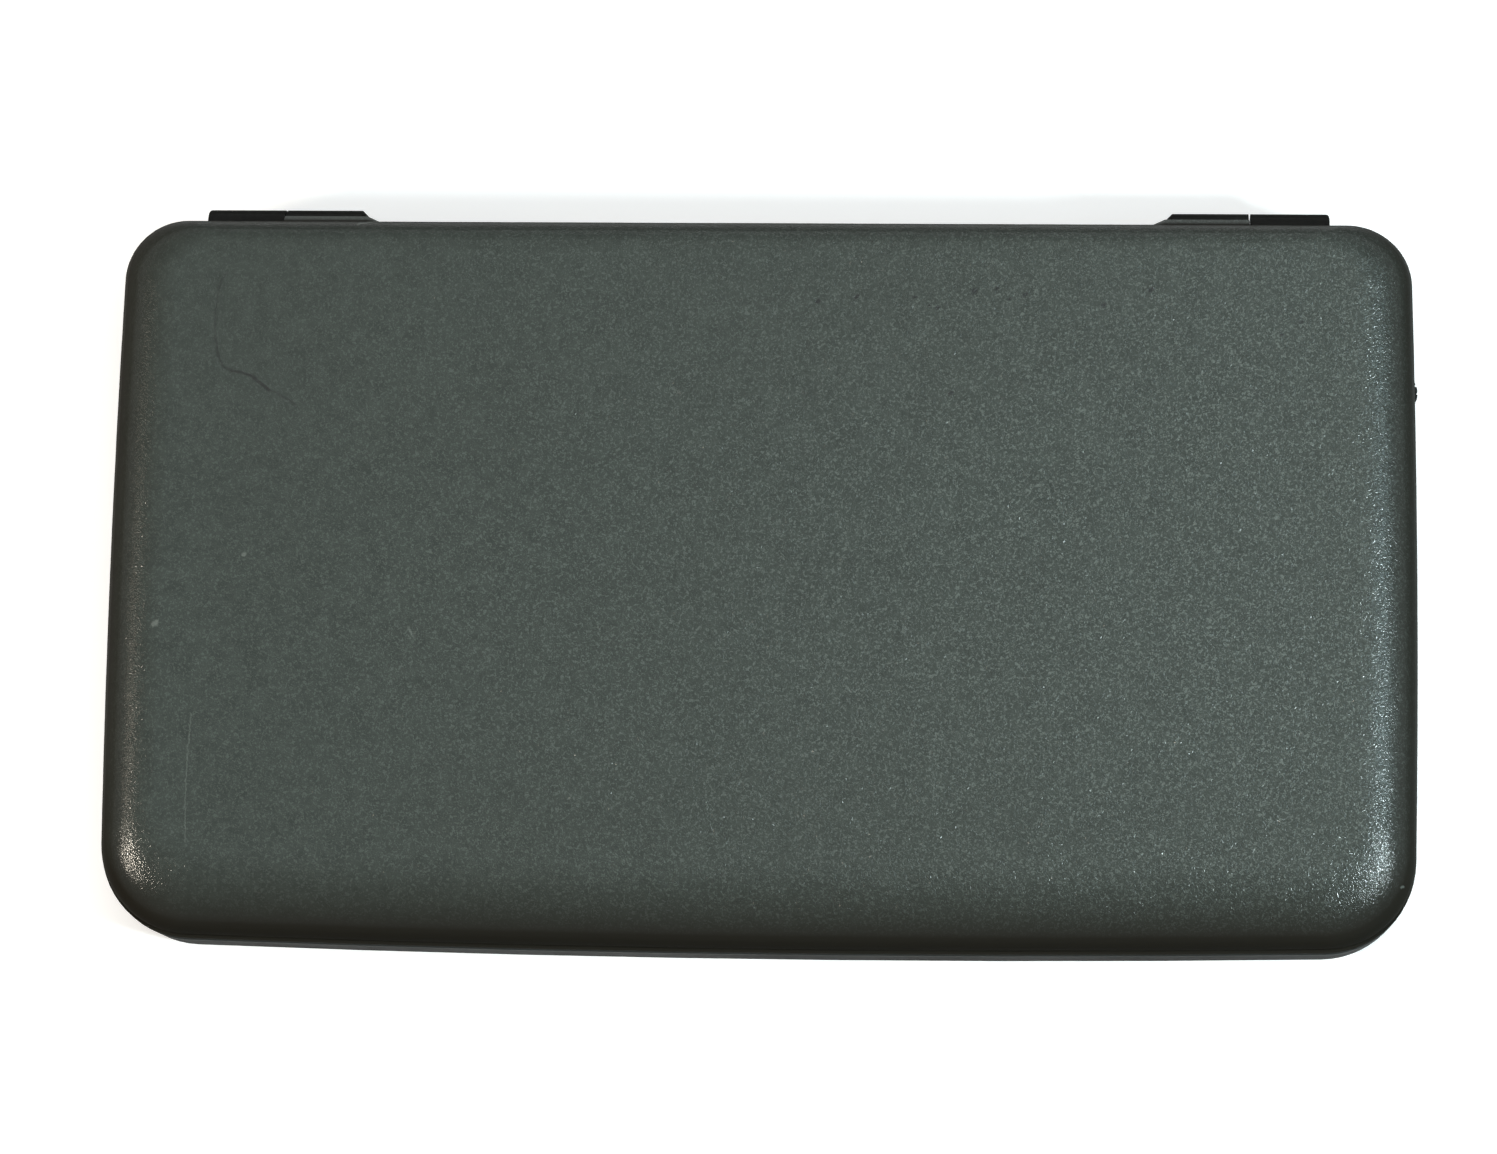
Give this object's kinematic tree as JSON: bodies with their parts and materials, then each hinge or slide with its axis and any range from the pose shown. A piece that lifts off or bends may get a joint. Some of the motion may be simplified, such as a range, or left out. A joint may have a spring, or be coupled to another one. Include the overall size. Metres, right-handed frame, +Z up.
{
  "type": "electronic organizer",
  "caption": "Pocket electronic organizer with a lid that folds back on a rear hinge, display in the lid, keyboard in the base, closed and lying flat.",
  "frame": {"origin": "middle of the flat underside of the base, between its side edges and between the lid's front and rear edges", "axes": "+Z up, +X to the user's right, +Y towards the hinge at the rear"},
  "size_m": [0.1343, 0.0771, 0.0144],
  "materials": {
    "lid_paint": "satin",
    "dark_plastic": "matte",
    "panel_plastic": "satin",
    "key_plastic": "satin",
    "printed_film": "satin",
    "clear_window": "gloss",
    "lcd_glass": "satin",
    "circuit_board": "satin",
    "chip_plastic": "matte",
    "key_rubber": "matte",
    "ribbon_film": "satin",
    "spring_metal": "satin",
    "cell_steel": "satin",
    "buzzer_brass": "satin",
    "screw_steel": "satin"
  },
  "bodies": {
    "base": {"bottom_case": "dark_plastic", "keyboard_panel": "panel_plastic", "mode_key_sheet": "printed_film", "key_mat": "key_rubber", "main_board": "circuit_board", "processor_chip": "chip_plastic", "memory_chips": "chip_plastic", "board_components": "chip_plastic", "battery_contacts": "spring_metal", "main_battery": "cell_steel", "backup_battery": "cell_steel", "buzzer_disc": "buzzer_brass", "data_jack": "dark_plastic", "case_screws": "screw_steel", "hinge_pins": "screw_steel", "display_ribbon": "ribbon_film"},
    "lid": {"lid_shell": "lid_paint", "display_bezel": "dark_plastic", "display_window": "clear_window", "lcd_panel": "lcd_glass", "lcd_backing": "circuit_board", "lid_screws": "screw_steel"},
    "cover": {"battery_cover": "dark_plastic"},
    "wheel": {"contrast_wheel": "dark_plastic"},
    "reset": {"reset_button": "key_plastic"},
    "key_on_body": {"key_on": "key_plastic"},
    "key_shift_body": {"key_shift": "key_plastic"},
    "key_space_body": {"key_space": "key_plastic"},
    "key_left_body": {"key_left": "key_plastic"},
    "key_right_body": {"key_right": "key_plastic"},
    "key_z_body": {"key_z": "key_plastic"},
    "key_x_body": {"key_x": "key_plastic"},
    "key_c_body": {"key_c": "key_plastic"},
    "key_v_body": {"key_v": "key_plastic"},
    "key_b_body": {"key_b": "key_plastic"},
    "key_n_body": {"key_n": "key_plastic"},
    "key_m_body": {"key_m": "key_plastic"},
    "key_comma_body": {"key_comma": "key_plastic"},
    "key_period_body": {"key_period": "key_plastic"},
    "key_enter_body": {"key_enter": "key_plastic"},
    "key_a_body": {"key_a": "key_plastic"},
    "key_s_body": {"key_s": "key_plastic"},
    "key_d_body": {"key_d": "key_plastic"},
    "key_f_body": {"key_f": "key_plastic"},
    "key_g_body": {"key_g": "key_plastic"},
    "key_h_body": {"key_h": "key_plastic"},
    "key_j_body": {"key_j": "key_plastic"},
    "key_k_body": {"key_k": "key_plastic"},
    "key_l_body": {"key_l": "key_plastic"},
    "key_delete_body": {"key_delete": "key_plastic"},
    "key_q_body": {"key_q": "key_plastic"},
    "key_w_body": {"key_w": "key_plastic"},
    "key_e_body": {"key_e": "key_plastic"},
    "key_r_body": {"key_r": "key_plastic"},
    "key_t_body": {"key_t": "key_plastic"},
    "key_y_body": {"key_y": "key_plastic"},
    "key_u_body": {"key_u": "key_plastic"},
    "key_i_body": {"key_i": "key_plastic"},
    "key_o_body": {"key_o": "key_plastic"},
    "key_p_body": {"key_p": "key_plastic"}
  },
  "joints": [
    {"name": "case_hinge", "type": "hinge", "parent": "base", "child": "lid", "pos_m": [0, 0.03785, 0.0083], "axis": [-1, 0, 0], "range_deg": [0, 180], "deforming": ["display_ribbon"]},
    {"name": "battery_cover_slide", "type": "slide", "parent": "base", "child": "cover", "axis": [-1, 0, 0], "range_m": [0, 0.05]},
    {"name": "contrast_turn", "type": "hinge", "parent": "base", "child": "wheel", "pos_m": [0.06495, 0.02085, 0.0063], "axis": [0, 0, 1], "range_deg": [-135, 135]},
    {"name": "reset_press", "type": "slide", "parent": "base", "child": "reset", "axis": [0, 0, 1], "range_m": [0, 0.0003], "stiffness_N_per_m": 800},
    {"name": "key_on_press", "type": "slide", "parent": "base", "child": "key_on_body", "axis": [0, 0, -1], "range_m": [0, 0.0006], "stiffness_N_per_m": 500},
    {"name": "key_shift_press", "type": "slide", "parent": "base", "child": "key_shift_body", "axis": [0, 0, -1], "range_m": [0, 0.0006], "stiffness_N_per_m": 500},
    {"name": "key_space_press", "type": "slide", "parent": "base", "child": "key_space_body", "axis": [0, 0, -1], "range_m": [0, 0.0006], "stiffness_N_per_m": 500},
    {"name": "key_left_press", "type": "slide", "parent": "base", "child": "key_left_body", "axis": [0, 0, -1], "range_m": [0, 0.0006], "stiffness_N_per_m": 500},
    {"name": "key_right_press", "type": "slide", "parent": "base", "child": "key_right_body", "axis": [0, 0, -1], "range_m": [0, 0.0006], "stiffness_N_per_m": 500},
    {"name": "key_z_press", "type": "slide", "parent": "base", "child": "key_z_body", "axis": [0, 0, -1], "range_m": [0, 0.0006], "stiffness_N_per_m": 500},
    {"name": "key_x_press", "type": "slide", "parent": "base", "child": "key_x_body", "axis": [0, 0, -1], "range_m": [0, 0.0006], "stiffness_N_per_m": 500},
    {"name": "key_c_press", "type": "slide", "parent": "base", "child": "key_c_body", "axis": [0, 0, -1], "range_m": [0, 0.0006], "stiffness_N_per_m": 500},
    {"name": "key_v_press", "type": "slide", "parent": "base", "child": "key_v_body", "axis": [0, 0, -1], "range_m": [0, 0.0006], "stiffness_N_per_m": 500},
    {"name": "key_b_press", "type": "slide", "parent": "base", "child": "key_b_body", "axis": [0, 0, -1], "range_m": [0, 0.0006], "stiffness_N_per_m": 500},
    {"name": "key_n_press", "type": "slide", "parent": "base", "child": "key_n_body", "axis": [0, 0, -1], "range_m": [0, 0.0006], "stiffness_N_per_m": 500},
    {"name": "key_m_press", "type": "slide", "parent": "base", "child": "key_m_body", "axis": [0, 0, -1], "range_m": [0, 0.0006], "stiffness_N_per_m": 500},
    {"name": "key_comma_press", "type": "slide", "parent": "base", "child": "key_comma_body", "axis": [0, 0, -1], "range_m": [0, 0.0006], "stiffness_N_per_m": 500},
    {"name": "key_period_press", "type": "slide", "parent": "base", "child": "key_period_body", "axis": [0, 0, -1], "range_m": [0, 0.0006], "stiffness_N_per_m": 500},
    {"name": "key_enter_press", "type": "slide", "parent": "base", "child": "key_enter_body", "axis": [0, 0, -1], "range_m": [0, 0.0006], "stiffness_N_per_m": 500},
    {"name": "key_a_press", "type": "slide", "parent": "base", "child": "key_a_body", "axis": [0, 0, -1], "range_m": [0, 0.0006], "stiffness_N_per_m": 500},
    {"name": "key_s_press", "type": "slide", "parent": "base", "child": "key_s_body", "axis": [0, 0, -1], "range_m": [0, 0.0006], "stiffness_N_per_m": 500},
    {"name": "key_d_press", "type": "slide", "parent": "base", "child": "key_d_body", "axis": [0, 0, -1], "range_m": [0, 0.0006], "stiffness_N_per_m": 500},
    {"name": "key_f_press", "type": "slide", "parent": "base", "child": "key_f_body", "axis": [0, 0, -1], "range_m": [0, 0.0006], "stiffness_N_per_m": 500},
    {"name": "key_g_press", "type": "slide", "parent": "base", "child": "key_g_body", "axis": [0, 0, -1], "range_m": [0, 0.0006], "stiffness_N_per_m": 500},
    {"name": "key_h_press", "type": "slide", "parent": "base", "child": "key_h_body", "axis": [0, 0, -1], "range_m": [0, 0.0006], "stiffness_N_per_m": 500},
    {"name": "key_j_press", "type": "slide", "parent": "base", "child": "key_j_body", "axis": [0, 0, -1], "range_m": [0, 0.0006], "stiffness_N_per_m": 500},
    {"name": "key_k_press", "type": "slide", "parent": "base", "child": "key_k_body", "axis": [0, 0, -1], "range_m": [0, 0.0006], "stiffness_N_per_m": 500},
    {"name": "key_l_press", "type": "slide", "parent": "base", "child": "key_l_body", "axis": [0, 0, -1], "range_m": [0, 0.0006], "stiffness_N_per_m": 500},
    {"name": "key_delete_press", "type": "slide", "parent": "base", "child": "key_delete_body", "axis": [0, 0, -1], "range_m": [0, 0.0006], "stiffness_N_per_m": 500},
    {"name": "key_q_press", "type": "slide", "parent": "base", "child": "key_q_body", "axis": [0, 0, -1], "range_m": [0, 0.0006], "stiffness_N_per_m": 500},
    {"name": "key_w_press", "type": "slide", "parent": "base", "child": "key_w_body", "axis": [0, 0, -1], "range_m": [0, 0.0006], "stiffness_N_per_m": 500},
    {"name": "key_e_press", "type": "slide", "parent": "base", "child": "key_e_body", "axis": [0, 0, -1], "range_m": [0, 0.0006], "stiffness_N_per_m": 500},
    {"name": "key_r_press", "type": "slide", "parent": "base", "child": "key_r_body", "axis": [0, 0, -1], "range_m": [0, 0.0006], "stiffness_N_per_m": 500},
    {"name": "key_t_press", "type": "slide", "parent": "base", "child": "key_t_body", "axis": [0, 0, -1], "range_m": [0, 0.0006], "stiffness_N_per_m": 500},
    {"name": "key_y_press", "type": "slide", "parent": "base", "child": "key_y_body", "axis": [0, 0, -1], "range_m": [0, 0.0006], "stiffness_N_per_m": 500},
    {"name": "key_u_press", "type": "slide", "parent": "base", "child": "key_u_body", "axis": [0, 0, -1], "range_m": [0, 0.0006], "stiffness_N_per_m": 500},
    {"name": "key_i_press", "type": "slide", "parent": "base", "child": "key_i_body", "axis": [0, 0, -1], "range_m": [0, 0.0006], "stiffness_N_per_m": 500},
    {"name": "key_o_press", "type": "slide", "parent": "base", "child": "key_o_body", "axis": [0, 0, -1], "range_m": [0, 0.0006], "stiffness_N_per_m": 500},
    {"name": "key_p_press", "type": "slide", "parent": "base", "child": "key_p_body", "axis": [0, 0, -1], "range_m": [0, 0.0006], "stiffness_N_per_m": 500}
  ]
}
